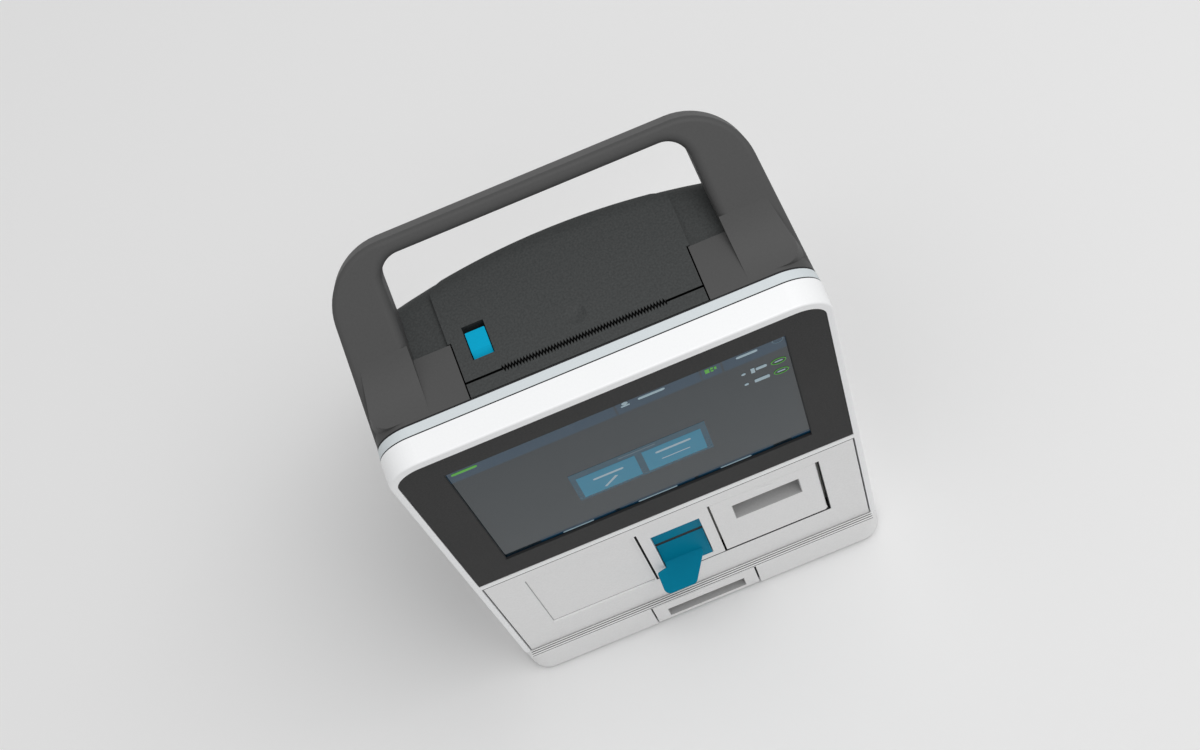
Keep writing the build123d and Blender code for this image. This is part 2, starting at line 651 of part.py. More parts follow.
def inlet_flap():
    half = MOUTH_W / 2 - MOVING
    top, low = FLAP_TOP, MOUTH_Z + MOVING
    rear = FLAP_PIN_Y + 1
    profile = outline([(SHROUD_SET, top), (rear, top), (rear, FLAP_PIN_Z),
                       (SET_BACK + FLAP_T, low), (SET_BACK, low)])
    front_edges = profile.vertices().sort_by(Axis.Y)
    profile = fillet([v for v in front_edges[-2:] if v.X < rear - 1], 0.4)
    flap = sideways(profile, -half, half)
    flap += rod_x(FLAP_PIN_Y, FLAP_PIN_Z, FLAP_BARREL_R, -half, half)
    flap += lever()
    return flap - rod_x(FLAP_PIN_Y, FLAP_PIN_Z, FLAP_PIN_R + RUNNING, -half, half)


def lever():
    """Tongue that slopes down and is wider to the left than to the right."""
    drop = radians(LEVER_DROP)
    plane = Plane(origin=(0, 0, MOUTH_Z + LEVER_ROOT_UP), x_dir=(1, 0, 0),
                  z_dir=(0, -sin(drop), cos(drop)))
    reach = LEVER_REACH / cos(drop) - LEVER_T * tan(drop)
    root_left = -MOUTH_W / 2 + 1
    root = SET_BACK + FLAP_T + 0.6
    face = outline([(root_left, root), (root_left, -1.2), (-LEVER_LEFT, -2.6),
                    (-LEVER_LEFT, -reach), (LEVER_TIP_RIGHT, -reach), (LEVER_RIGHT, -1.0),
                    (LEVER_RIGHT, root)])
    corners = face.vertices().sort_by(Axis.Y)
    face = fillet(corners[0:2], 4.0)
    face = fillet(face.vertices().group_by(Axis.X)[0].sort_by(Axis.Y)[-1], 1.2)
    tongue = extrude(plane * face, -LEVER_T)
    rim = [e for e in tongue.edges() if e.center().Y < -1.6 and e.length > 0.8
           and abs(plane.to_local_coords(e.center()).Z) < 0.01]
    return fillet(rim, 0.9)


def inlet_hinge_pin():
    return rod_x(FLAP_PIN_Y, FLAP_PIN_Z, FLAP_PIN_R, -CHUTE_HALF, CHUTE_HALF)


def inlet_gasket():
    y1 = SET_BACK + SURROUND_T + CHUTE_D
    ring = rod_y(0, PROBE_Z, GASKET_R, y1 - BAY_WALL, y1)
    ring += rod_y(0, PROBE_Z, GASKET_R + 2, y1 - BAY_WALL - 1.5, y1 - BAY_WALL)
    return ring - rod_y(0, PROBE_Z, PROBE_R, y1 - BAY_WALL - 1.5, y1)


def sample_probe():
    y0 = FLAP_PIN_Y + 12
    y1 = SET_BACK + SURROUND_T + CHUTE_D + BLOCK_H
    tube = rod_y(0, PROBE_Z, PROBE_R, y0, y1 + 6)
    return tube - rod_y(0, PROBE_Z, PROBE_R / 2, y0, y1 + 6)


def probe_block():
    y0 = SET_BACK + SURROUND_T + CHUTE_D
    body = block(-12, 12, y0, y0 + BLOCK_H, PROBE_Z - 12, PROBE_Z + 16)
    body += rod_z(0, y0 + BLOCK_H / 2, 7, PROBE_Z + 16, PROBE_Z + 30)
    return body - rod_y(0, PROBE_Z, PROBE_R, y0, y0 + BLOCK_H)


def sensor_hatch():
    y0, y1 = SET_BACK, SET_BACK + HATCH_T
    plate = upright(front_face(HATCH_X0, HATCH_X1, PLATE_Z, PLATE_TOP), y0, y1)
    right = plate.edges().filter_by(Axis.Y).group_by(Axis.X)[-1]
    plate = fillet(right, HATCH_CORNER_R)
    low = plate.edges().filter_by(Axis.X).group_by(Axis.Y)[0].sort_by(Axis.Z)[0]
    plate = fillet(low, 1.5)
    slot_x = HATCH_X0 + FINGER_IN
    slot_top = PLATE_TOP - FINGER_DROP
    w = HATCH_WALL
    plate += block(slot_x - w, slot_x + FINGER_W + w, y1, y0 + FINGER_D + w,
                   slot_top - FINGER_H - w, slot_top + w)
    slot = front_face(slot_x, slot_x + FINGER_W, slot_top - FINGER_H, slot_top)
    plate -= upright(slot, y0, y0 + FINGER_D)
    plate -= oval_dimple((HATCH_X0 + HATCH_X1) / 2, y0, PLATE_TOP - FINGER_DROP / 3,
                         13, 5, DIMPLE_D)
    plate += rod_x(HATCH_PIN_Y, HATCH_PIN_Z, HATCH_BARREL_R, HATCH_X0, HATCH_X1)
    return plate - rod_x(HATCH_PIN_Y, HATCH_PIN_Z, HATCH_PIN_R + RUNNING, HATCH_X0, HATCH_X1)


def hatch_hinge_pins():
    left = INLET_W / 2 - LUG_W - 1
    pins = [rod_x(HATCH_PIN_Y, HATCH_PIN_Z, HATCH_PIN_R, left, HATCH_X0 + 7),
            rod_x(HATCH_PIN_Y, HATCH_PIN_Z, HATCH_PIN_R, HATCH_X1 - 7, FIELD_X + LUG_W)]
    return Compound(children=pins)


def cassette_bay():
    y0 = PANEL_T + RIB_D
    flange = front_face(INLET_W / 2 - 1, FIELD_X + RIM_W, FIELD_Z - RIM_W, FIELD_TOP + RIM_W)
    bay = upright(flange, y0, y0 + SHEET)
    x0, x1 = HATCH_X0 + 3, HATCH_X1 - 1
    z0, z1 = PLATE_Z + 8, PLATE_TOP - 2
    w = BAY_WALL
    bay += block(x0 - w, x1 + w, y0, y0 + BAY_D, z0 - w, z1 + w)
    return bay - block(x0, x1, y0, y0 + BAY_D - w, z0, z1)


def sensor_cassette():
    x1 = HATCH_X1 - 1 - 6
    wide, deep, high = CASSETTE
    y1 = PANEL_T + RIB_D + BAY_D - BAY_WALL
    z0 = PLATE_Z + 8
    body = block(x1 - wide, x1, y1 - deep, y1, z0, z0 + high)
    body = fillet(body.edges().filter_by(Axis.Y), 3.0)
    grip = block(x1 - wide / 2 - 9, x1 - wide / 2 + 9, y1 - deep, y1 - deep + 5,
                 z0 + high * 0.55, z0 + high * 0.8)
    return body - grip


# ---------------------------------------------------------------- base
def plan(inset):
    """Base outline from above: straight front, rounded corners, drawn-in sides, bowed rear."""
    half = HALF + SKIRT_SIDE - inset
    front = -SKIRT_STEP + inset
    rear = half - SIDE_TAPER * (PLINTH_REAR - HOOP_D)
    face = outline([(-half, front), (half, front), (half, HOOP_D), (rear, PLINTH_REAR),
                    (-rear, PLINTH_REAR), (-half, HOOP_D)])
    face &= Pos(0, BOW_Y) * Circle(PLINTH_REAR - BOW_Y - inset)
    corners = face.vertices().group_by(Axis.Y)
    face = fillet(corners[0], max(PLINTH_CORNER_R - inset, 1.0))
    return fillet(face.vertices().group_by(Axis.Y)[-1], max(PLINTH_CORNER_R / 2 - inset, 1.0))


def base_plinth():
    base = flat(plan(0), BASE_Z, DECK_Z)
    bay = DRAWER_W / 2 + DRAWER_GAP
    hollow = flat(plan(WALL), BASE_Z, DECK_Z - WALL)
    for side in (-1, 1):
        x0, x1 = sorted((side * (bay + 2 * WALL), side * (HALF + SKIRT_SIDE)))
        hollow_side = hollow & block(x0, x1, -SKIRT_STEP, PLINTH_REAR, BASE_Z, DECK_Z)
        base -= hollow_side
    base -= block(-bay, bay, -SKIRT_STEP, DRAWER_L + 4, BASE_Z, DECK_Z - WALL)
    base -= block(-bay, bay, -SKIRT_STEP, -SKIRT_STEP + DRAWER_T + MOVING, BASE_Z, DECK_Z)
    base -= flat(plan(WALL), BASE_Z, BASE_Z + FLOOR_T)
    return base


def base_floor():
    floor = flat(plan(WALL + FIT), BASE_Z, BASE_Z + FLOOR_T)
    for x, y in floor_screw_places():
        floor -= rod_z(x, y, SCREW_R, BASE_Z, BASE_Z + FLOOR_T)
    return floor


def floor_screw_places():
    return [(x, y) for x in (-45, 45) for y in (14, 110, 200)]


def case_screws():
    """The base floor's and the connector plate's screws, all alike."""
    places = [Pos(x, y, BASE_Z) * Rot(180, 0, 0) for x, y in floor_screw_places()]
    places += [Pos(x, RECESS_Y + FLOOR_T, z) * Rot(-90, 0, 0) for x, z in plate_screw_places()]
    return Compound(children=[place * screw(FLOOR_T) for place in places])


def feet():
    places = [(side * (half_at(y) - FOOT_IN), y) for side in (-1, 1) for y in (FOOT_FRONT, FOOT_REAR)]
    foot = Pos(0, 0, FOOT_H / 2) * Cylinder(FOOT_R, FOOT_H)
    foot = chamfer(foot.edges().group_by(Axis.Z)[0], 0.6)
    return Compound(children=[Pos(x, y, 0) * foot for x, y in places])


def ribbed_strip():
    half = OPEN_HALF
    y0, y1 = -SKIRT_STEP + FIT, -FIT
    strip = block(-half, half, y0, y1, DECK_Z, DECK_Z + RIB_BASE)
    pitch = (y1 - y0) / 3
    for i in range(3):
        y = y0 + (i + 0.5) * pitch
        strip += block(-half, half, y - pitch / 4, y + pitch / 4,
                       DECK_Z, DECK_Z + RIB_BASE + RIB_RISE)
    return strip


def drawer_front():
    half = DRAWER_W / 2
    y0 = -SKIRT_STEP
    low, top = BASE_Z + FLOOR_T + MOVING, DECK_Z - MOVING
    plate = block(-half, half, y0, y0 + DRAWER_T, low, top)
    slot_half = DRAWER_SLOT_W / 2
    z0 = BASE_Z + DRAWER_SLOT_UP
    w = TRAY_WALL
    plate += block(-slot_half - w, slot_half + w, y0 + DRAWER_T, y0 + DRAWER_SLOT_D + w,
                   z0 - 1, z0 + DRAWER_SLOT_H + w)
    plate -= block(-slot_half, slot_half, y0, y0 + DRAWER_SLOT_D, z0, z0 + DRAWER_SLOT_H)
    return plate - oval_dimple(0, y0, (z0 + DRAWER_SLOT_H + top) / 2, 14, 4.5, DIMPLE_D)


def tray_box():
    half = DRAWER_W / 2 - TRAY_SIDE + DRAWER_GAP
    low = BASE_Z + FLOOR_T + 2 * MOVING
    return half, -SKIRT_STEP + DRAWER_SLOT_D + TRAY_WALL, low, DECK_Z - WALL - MOVING


def drawer_tray():
    half, y0, low, top = tray_box()
    w = TRAY_WALL
    tray = block(-half, half, y0, DRAWER_L, low, top)
    flange = DRAWER_W / 2 + DRAWER_GAP - MOVING
    tray += block(-flange, flange, y0, DRAWER_L, top - w, top)
    return tray - block(-half + w, half - w, y0 + w, DRAWER_L - w, low + w, top)


def drawer_runners():
    half, y0, low, top = tray_box()
    bay = DRAWER_W / 2 + DRAWER_GAP
    z1 = top - TRAY_WALL - MOVING / 2
    bars = []
    for side in (-1, 1):
        x0, x1 = sorted((side * (half + MOVING), side * bay))
        bars.append(block(x0, x1, y0, DRAWER_L, z1 - RUNNER_H, z1))
    return Compound(children=bars)


def solution_pack():
    half, y0, low, top = tray_box()
    w, m = TRAY_WALL, PACK_MARGIN
    pack = block(-half + w + m, half - w - m, y0 + w + m, DRAWER_L - w - m, low + w, top - 1)
    pack = fillet(pack.edges().filter_by(Axis.Z), 4.0)
    ridge = block(-10, 10, y0 + 20, y0 + 60, top - 3, top - 1)
    pack -= ridge
    for y in (120, 140, 160):
        pack -= rod_z(0, y, 5, top - 3, top - 1)
    return pack


# ---------------------------------------------------------------- printer
def zigzag(y):
    """Saw line across the middle and straight beyond it, from left to right."""
    half = TEETH * TOOTH_PITCH / 2
    points = [(-LID_HALF, y), (-half, y)]
    for i in range(TEETH):
        x = -half + i * TOOTH_PITCH
        points.append((x + TOOTH_PITCH / 4, y + TOOTH_DEPTH / 2))
        points.append((x + TOOTH_PITCH * 3 / 4, y - TOOTH_DEPTH / 2))
    return points + [(half, y), (LID_HALF, y)]


def tear_bar():
    line = zigzag(TEAR_Y)
    face = outline(line + [(LID_HALF, FRAME_Y + FIT), (-LID_HALF, FRAME_Y + FIT)])
    return flat(face, TOP_Z - TEAR_T, TOP_Z)


def lid_form(inset, low):
    return back_form(inset, TOP_Z, RIDGE_Y, RIDGE_R + 2, low)


def well(extra, deep):
    wide, long = WELL
    return block(BUTTON_X - wide / 2 - extra, BUTTON_X + wide / 2 + extra,
                 WELL_Y - long / 2 - extra, WELL_Y + long / 2 + extra, TOP_Z - deep, TOP_Z)


def printer_cover():
    rim = TOP_Z - LID_EDGE
    lip = TOP_Z - LID_LIP_DROP
    deep = PLINTH_REAR
    front = TEAR_Y + TEAR_GAP
    footprint = outline(zigzag(front) + [(LID_HALF, deep), (-LID_HALF, deep)])
    footprint &= lid_plan(LID_HALF, TEAR_Y - TOOTH_DEPTH, LID_REAR, LID_CORNER_R)
    lid = lid_form(0, BAY_Z) & flat(footprint, rim, TOP_Z)
    hollow = lid_plan(LID_HALF - LID_T, front + LID_T + TOOTH_DEPTH / 2, LID_REAR - LID_T,
                      LID_CORNER_R - LID_T)
    lid -= lid_form(LID_T, BAY_Z) & flat(hollow, BAY_Z, TOP_Z)
    lid -= block(-LID_HALF, LID_HALF, ARM_Y[1] + 1, deep, rim, lip)
    lap = lid_plan(LID_HALF + LID_LAP, SHELL_Y + MOVING, LID_REAR, LID_CORNER_R)
    lap -= lid_plan(LID_HALF - LID_T / 2, SHELL_Y + MOVING, LID_REAR - LID_T, LID_CORNER_R)
    lid += lid_form(0, BAY_Z) & flat(lap, SHELL_TOP + MOVING, TOP_Z)
    for side in (-1, 1):
        x0, x1 = sorted((side * ARM[0], side * ARM[1]))
        lid += block(x0, x1, *ARM_Y, LID_PIN_Z - KNUCKLE_R, TOP_Z - LID_T + 0.2)
        lid += block(x0, x1, ARM_Y[0], LID_PIN_Y, LID_PIN_Z - KNUCKLE_R, LID_PIN_Z + KNUCKLE_R)
        lid += rod_x(LID_PIN_Y, LID_PIN_Z, KNUCKLE_R, x0, x1)
        x0, x1 = sorted((side * (PLATEN_W / 2 + 1), side * (PLATEN_W / 2 + 4)))
        lid += block(x0, x1, PLATEN_Y - 4, PLATEN_Y + 4, PLATEN_Z - 4, TOP_Z - LID_T + 0.2)
    lid -= rod_x(LID_PIN_Y, LID_PIN_Z, LID_PIN_R + RUNNING, -LID_HALF, LID_HALF)
    lid += well(WELL_WALL, WELL_D + WELL_WALL)
    lid -= well(0, WELL_D)
    lid -= rod_x(PLATEN_Y, PLATEN_Z, SHAFT_R + RUNNING, -PLATEN_W / 2 - 5, PLATEN_W / 2 + 5)
    sink = 5.5 ** 2 / 2 / DIMPLE_D + DIMPLE_D / 2
    return lid - Pos(0, TEAR_Y + 13.3, TOP_Z - DIMPLE_D + sink) * Sphere(sink)


def release_button():
    wide, long = BUTTON
    y1 = WELL_Y + WELL[1] / 2 - 3.6
    y0 = y1 - long
    z0, z1 = BUTTON_Z, TOP_Z - 0.5
    button = block(BUTTON_X - wide / 2, BUTTON_X + wide / 2, y0, y1, z0, z1)
    facet = outline([(y0 - 1, z1 + 1), (y0 + 4.5, z1 + 1), (y0 + 4.5, z1), (y0, z1 - 2.8),
                     (y0 - 1, z1 - 2.8)])
    button -= sideways(facet, BUTTON_X - wide, BUTTON_X + wide)
    return fillet(button.edges().filter_by(Axis.Z), 0.5)


def button_spring():
    """Leaf bent to and fro under the release button."""
    z0, z1 = TOP_Z - WELL_D, BUTTON_Z
    rise = (z1 - z0 - SPRING_T) / SPRING_TURNS
    half = SPRING_W / 2
    spring = None
    for i in range(SPRING_TURNS):
        x0, x1 = (-half, half) if i % 2 == 0 else (half, -half)
        low, high = z0 + i * rise, z0 + (i + 1) * rise
        leaf = upright(outline([(x0, low), (x1, high), (x1, high + SPRING_T), (x0, low + SPRING_T)]),
                       BUTTON_Y - half, BUTTON_Y + half)
        spring = leaf if spring is None else spring + leaf
    return Pos(BUTTON_X, 0) * spring


def cover_latch():
    x = PLATEN_W / 2 + 12
    z1 = TOP_Z - LID_T
    hook = block(x - 4, x + 4, PLATEN_Y - 3, PLATEN_Y, z1 - 14, z1)
    return hook + block(x - 4, x + 4, PLATEN_Y - 6, PLATEN_Y, z1 - 14, z1 - 11.5)


def platen_roller():
    roller = rod_x(PLATEN_Y, PLATEN_Z, PLATEN_R, -PLATEN_W / 2, PLATEN_W / 2)
    return roller - rod_x(PLATEN_Y, PLATEN_Z, SHAFT_R, -PLATEN_W / 2, PLATEN_W / 2)


def platen_shaft():
    return rod_x(PLATEN_Y, PLATEN_Z, SHAFT_R, -PLATEN_W / 2 - 4, PLATEN_W / 2 + 4)


def hinge_cheeks():
    """Inner and outer end of the cheeks beside the lid's arms."""
    return ARM[1] + ARM_GAP, ARM[1] + ARM_GAP + CHEEK_W


def cover_hinge_pin():
    end = hinge_cheeks()[1]
    return rod_x(LID_PIN_Y, LID_PIN_Z, LID_PIN_R, -end, end)


def printer_bay():
    half = LID_HALF - FIT
    w = SHEET
    y0, y1 = TEAR_Y - 3 * w / 2 - 0.5, ARM_Y[1]
    rim = TOP_Z - LID_EDGE - MOVING
    bay = block(-half, half, y0, y1, BAY_Z, rim)
    bay -= block(-half + w, half - w, y0 + w, y1 - w, BAY_Z + w, rim)
    bay += block(-half, half, FRAME_Y + FIT, y0 + w, TOP_Z - TEAR_T - w, TOP_Z - TEAR_T)
    bay += block(-half, half, y0, y0 + w, BAY_Z, TOP_Z - TEAR_T)
    for side in (-1, 1):
        x0, x1 = sorted((side * (ARM[0] - ARM_GAP), side * (ARM[1] + ARM_GAP)))
        bay -= block(x0, x1, y1 - w, y1, LID_PIN_Z - KNUCKLE_R - w, rim)
        x0, x1 = sorted(side * x for x in hinge_cheeks())
        bay += block(x0, x1, y1 - w, LID_PIN_Y, LID_PIN_Z - KNUCKLE_R, LID_PIN_Z + KNUCKLE_R)
        bay += rod_x(LID_PIN_Y, LID_PIN_Z, KNUCKLE_R, x0, x1)
    bay -= rod_x(LID_PIN_Y, LID_PIN_Z, LID_PIN_R, -half, half)
    bay -= rod_x(ROLL_Y, ROLL_Z, SHAFT_R, -half, half)
    return bay


def print_head():
    y0 = TEAR_Y - 3 * SHEET / 2 - 0.5 + SHEET
    y1 = PLATEN_Y - PLATEN_R - MOVING
    z1 = TOP_Z - LID_EDGE - MOVING
    return block(-PLATEN_W / 2 + 1, PLATEN_W / 2 - 1, y0, y1, z1 - 16, z1)


def paper_roll():
    roll = rod_x(ROLL_Y, ROLL_Z, ROLL_R, -ROLL_W / 2, ROLL_W / 2)
    return roll - rod_x(ROLL_Y, ROLL_Z, SPINDLE_R + RUNNING, -ROLL_W / 2, ROLL_W / 2)


def paper_spindle():
    end = LID_HALF - FIT
    spindle = rod_x(ROLL_Y, ROLL_Z, SPINDLE_R, -ROLL_W / 2 - 2, ROLL_W / 2 + 2)
    for side in (-1, 1):
        x0, x1 = sorted((side * (ROLL_W / 2 + 2), side * (ROLL_W / 2 + 4)))
        spindle += rod_x(ROLL_Y, ROLL_Z, SPINDLE_R + 3, x0, x1)
    return spindle + rod_x(ROLL_Y, ROLL_Z, SHAFT_R, -end, end)


# ---------------------------------------------------------------- inside
def chassis():
    w, half = SHEET, CHASSIS_W / 2
    plate = block(-half, half, SHELL_Y + FIT, RECESS_Y - 2 * WALL, DECK_Z, DECK_Z + w)
    plate += block(-half, half, UPRIGHT_Y, UPRIGHT_Y + w, DECK_Z, DECK_Z + CHASSIS_H)
    edge = FAN_W / 2 + 2 * WALL
    plate += block(-edge, edge, FAN_Y - w, FAN_Y, DECK_Z, FAN_Z + edge)
    plate -= rod_y(0, FAN_Z, FAN_R + 1, FAN_Y - w, FAN_Y)
    plate -= rod_y(0, PROBE_Z, 4, UPRIGHT_Y, UPRIGHT_Y + w)
    return plate


def power_supply():
    wide, deep, high = POWER
    y0 = UPRIGHT_Y + SHEET
    z0 = DECK_Z + SHEET
    box = block(INNER_GAP, INNER_GAP + wide, y0, y0 + deep, z0, z0 + high)
    pitch = deep / 11.5
    for i in range(9):
        y = y0 + (i + 1.5) * pitch
        box -= block(INNER_GAP + wide / 7, INNER_GAP + wide * 6 / 7, y, y + pitch * 0.4,
                     z0 + high - 1, z0 + high)
    return box


def battery_pack():
    wide, deep, high = BATTERY
    y0 = UPRIGHT_Y + SHEET
    z0 = DECK_Z + SHEET
    box = block(-INNER_GAP - wide, -INNER_GAP, y0, y0 + deep, z0, z0 + high)
    return fillet(box.edges().filter_by(Axis.Y), 4.0)


def pump_motor():
    return rod_y(PUMP_X, PUMP_Z, 17, UPRIGHT_Y - PUMP_MOTOR_L, UPRIGHT_Y)


def pump_body():
    y1 = UPRIGHT_Y - PUMP_MOTOR_L
    y0 = y1 - PUMP_HEAD_L
    body = rod_y(PUMP_X, PUMP_Z, PUMP_R, y0, y1)
    body += block(PUMP_X - 8, PUMP_X + 8, y0, y1, PUMP_Z - PUMP_R - 6, PUMP_Z)
    body -= rod_y(PUMP_X, PUMP_Z, PUMP_R - 4, y0, y1 - 4)
    return body - rod_y(PUMP_X, PUMP_Z, SHAFT_R + 1, y1 - 4, y1)


def pump_rotor():
    y1 = UPRIGHT_Y - PUMP_MOTOR_L - 4 - MOVING
    y0 = y1 - PUMP_HEAD_L + 6
    rotor = rod_y(PUMP_X, PUMP_Z, 8, y0, y1)
    for i in range(3):
        a = radians(90 + 120 * i)
        rotor += rod_y(PUMP_X + 11 * cos(a), PUMP_Z + 11 * sin(a), 6, y0, y1)
    return rotor


def fan_frame():
    half = FAN_W / 2
    y1 = FAN_Y + FAN_T
    frame = upright(front_face(-half, half, FAN_Z - half, FAN_Z + half, 3, 3), FAN_Y, y1)
    frame -= rod_y(0, FAN_Z, FAN_R, FAN_Y, y1)
    for angle in (0, 60, 120):
        spoke = Box(2 * FAN_R + 2, 1.5, 2.4)
        frame += Pos(0, y1 - 0.75, FAN_Z) * Rot(0, angle, 0) * spoke
    return frame + rod_y(0, FAN_Z, 10, y1 - 2, y1)


def fan_rotor():
    y0, y1 = FAN_Y + 1.5, FAN_Y + FAN_T - 2.6
    hub = rod_y(0, FAN_Z, 11, y0, y1)
    depth = y1 - y0
    for i in range(7):
        blade = Pos(11 + (FAN_R - 12.5) / 2 - 1, 0, 0) * Rot(35, 0, 0) * Box(
            FAN_R - 12.5, 1.4, depth)
        blade = Pos(0, (y0 + y1) / 2, FAN_Z) * Rot(0, i * 360 / 7, 0) * blade
        hub += blade & block(-FAN_R, FAN_R, y0, y1, FAN_Z - FAN_R, FAN_Z + FAN_R)
    return hub


def connector_cuts():
    """Openings of the rear connectors: x0, x1, z0, z1."""
    z0 = RECESS_Z
    return {"mains": (-56, -28, z0 + 3, z0 + 25), "switch": (-56, -28, z0 + 28, z0 + 47),
            "ports": (-16, 54, z0 + 8, z0 + 40)}


def connector_plate():
    y0 = RECESS_Y
    half = RECESS_W / 2 - FIT
    plate = block(-half, half, y0, y0 + FLOOR_T, RECESS_Z + FIT, RECESS_Z + RECESS_H - FIT)
    for x0, x1, z0, z1 in connector_cuts().values():
        plate -= block(x0, x1, y0, y0 + FLOOR_T, z0, z1)
    for x, z in plate_screw_places():
        plate -= rod_y(x, z, SCREW_R, y0, y0 + FLOOR_T)
    return plate


def plate_screw_places():
    x = RECESS_W / 2 - 22
    return [(-x + 20, RECESS_Z + 44), (x, RECESS_Z + 44), (-x + 20, RECESS_Z + 5), (x, RECESS_Z + 4)]





def connector_body(name, front, depth):
    x0, x1, z0, z1 = connector_cuts()[name]
    return block(x0 + FIT, x1 - FIT, front - depth, front, z0 + FIT, z1 - FIT)


def mains_inlet():
    front = RECESS_Y + FLOOR_T + 1
    body = connector_body("mains", front, 26)
    x0, x1, z0, z1 = connector_cuts()["mains"]
    return body - block(x0 + 3, x1 - 3, front - 16, front, z0 + 3, z1 - 3)


def inlet_pins():
    front = RECESS_Y + FLOOR_T + 1
    x0, x1, z0, z1 = connector_cuts()["mains"]
    xm, zm = (x0 + x1) / 2, (z0 + z1) / 2
    pins = [block(xm + dx - 1, xm + dx + 1, front - 16, front - 3, zm + dz - 2, zm + dz + 2)
            for dx, dz in ((-7, -2), (7, -2), (0, 3))]
    return Compound(children=pins)


def switch_frame():
    front = RECESS_Y + FLOOR_T + 1
    body = connector_body("switch", front, 12)
    x0, x1, z0, z1 = connector_cuts()["switch"]
    zm = (z0 + z1) / 2
    body -= block(x0 + 3, x1 - 3, front - 9, front, zm - ROCKER_H, zm + ROCKER_H)
    return body - rod_x(front - 5, zm, SHAFT_R / 2 + RUNNING, x0 + 1.2, x1 - 1.2)


def power_switch():
    front = RECESS_Y + FLOOR_T + 1
    x0, x1, z0, z1 = connector_cuts()["switch"]
    zm = (z0 + z1) / 2
    y = front - 5
    reach = ROCKER_H - 1.6
    rocker = sideways(outline([(y - 1.5, zm - 2.5), (y + 3.2, zm - reach), (y + 4.6, zm - reach),
                               (y + 3.4, zm), (y + 6.4, zm + reach), (y + 3.6, zm + reach),
                               (y - 1.5, zm + 2.5)]), x0 + 3 + MOVING, x1 - 3 - MOVING)
    return rocker + rod_x(y, zm, SHAFT_R / 2, x0 + 1.4, x1 - 1.4)


def data_ports():
    front = RECESS_Y + FLOOR_T + 0.8
    body = connector_body("ports", front, 15)
    x0, x1, z0, z1 = connector_cuts()["ports"]
    deep = front - 11
    for i in range(2):
        x = x0 + 4 + i * 19
        body -= block(x, x + 14, deep, front, z0 + 4, z0 + 17)
        body -= block(x, x + 14, deep, front, z0 + 21, z0 + 27)
    body -= block(x1 - 28, x1 - 4, deep, front, z0 + 6, z0 + 14)
    return body - rod_y(x1 - 16, z1 - 8, 3.5, deep, front)


PIECES = (front_frame, seam_gasket, accent_ring, handle_frame, rear_housing, screen_fascia,
          touch_glass, display_panel, display_carrier, main_board, board_screws, front_panel,
          panel_backing, inlet_bezel, inlet_shroud, slit_seal, inlet_flap, inlet_hinge_pin,
          inlet_gasket, sample_probe, probe_block, sensor_hatch, hatch_hinge_pins, cassette_bay,
          sensor_cassette, base_plinth, base_floor, case_screws, feet, ribbed_strip,
          drawer_front, drawer_tray, drawer_runners, solution_pack, tear_bar, printer_cover,
          release_button, button_spring, cover_latch, platen_roller, platen_shaft,
          cover_hinge_pin, printer_bay, print_head, paper_roll, paper_spindle, chassis,
          power_supply, battery_pack, pump_motor, pump_body, pump_rotor, fan_frame, fan_rotor,
          connector_plate, mains_inlet, inlet_pins, switch_frame, power_switch, data_ports)

for piece in PIECES:
    save(piece.__name__, piece())
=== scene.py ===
import bpy
import bmesh
import json
import math
from mathutils import Matrix, Vector

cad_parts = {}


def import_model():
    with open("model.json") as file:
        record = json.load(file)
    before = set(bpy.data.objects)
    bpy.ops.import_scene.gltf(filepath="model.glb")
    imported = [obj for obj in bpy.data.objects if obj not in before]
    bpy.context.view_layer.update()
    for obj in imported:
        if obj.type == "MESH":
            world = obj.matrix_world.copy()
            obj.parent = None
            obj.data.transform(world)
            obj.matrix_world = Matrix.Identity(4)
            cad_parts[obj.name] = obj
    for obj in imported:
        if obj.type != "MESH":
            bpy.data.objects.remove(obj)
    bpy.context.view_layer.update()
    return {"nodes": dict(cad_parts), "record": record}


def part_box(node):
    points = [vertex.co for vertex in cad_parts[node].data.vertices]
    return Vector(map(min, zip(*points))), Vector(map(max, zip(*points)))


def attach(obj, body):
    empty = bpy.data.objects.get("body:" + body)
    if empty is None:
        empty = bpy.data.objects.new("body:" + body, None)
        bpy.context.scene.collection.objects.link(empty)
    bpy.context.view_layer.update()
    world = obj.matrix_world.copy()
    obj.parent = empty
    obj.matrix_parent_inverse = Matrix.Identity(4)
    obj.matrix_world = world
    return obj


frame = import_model()
nodes = frame["nodes"]
MM = 0.001


# ------------------------------------------------------------------ materials
def principled(name, colour, rough, **sockets):
    """A material with its constants set straight on the shader."""
    mat = bpy.data.materials.new(name)
    mat.use_nodes = True
    shader = mat.node_tree.nodes["Principled BSDF"]
    shader.inputs["Base Color"].default_value = (*colour, 1)
    shader.inputs["Roughness"].default_value = rough
    for key, value in sockets.items():
        shader.inputs[key.replace("_", " ")].default_value = value
    return mat, mat.node_tree, shader


def linear(hexa):
    """sRGB hex to linear colour."""
    values = [int(hexa[i:i + 2], 16) / 255 for i in (0, 2, 4)]
    return tuple(v / 12.92 if v <= 0.04045 else ((v + 0.055) / 1.055) ** 2.4 for v in values)


def noise(tree, scale, detail=2.0, stretch=(1, 1, 1)):
    coords = tree.nodes.new("ShaderNodeTexCoord")
    mapping = tree.nodes.new("ShaderNodeMapping")
    mapping.inputs["Scale"].default_value = stretch
    field = tree.nodes.new("ShaderNodeTexNoise")
    field.inputs["Scale"].default_value = scale
    field.inputs["Detail"].default_value = detail
    tree.links.new(coords.outputs["Object"], mapping.inputs["Vector"])
    tree.links.new(mapping.outputs["Vector"], field.inputs["Vector"])
    return field.outputs["Fac"]


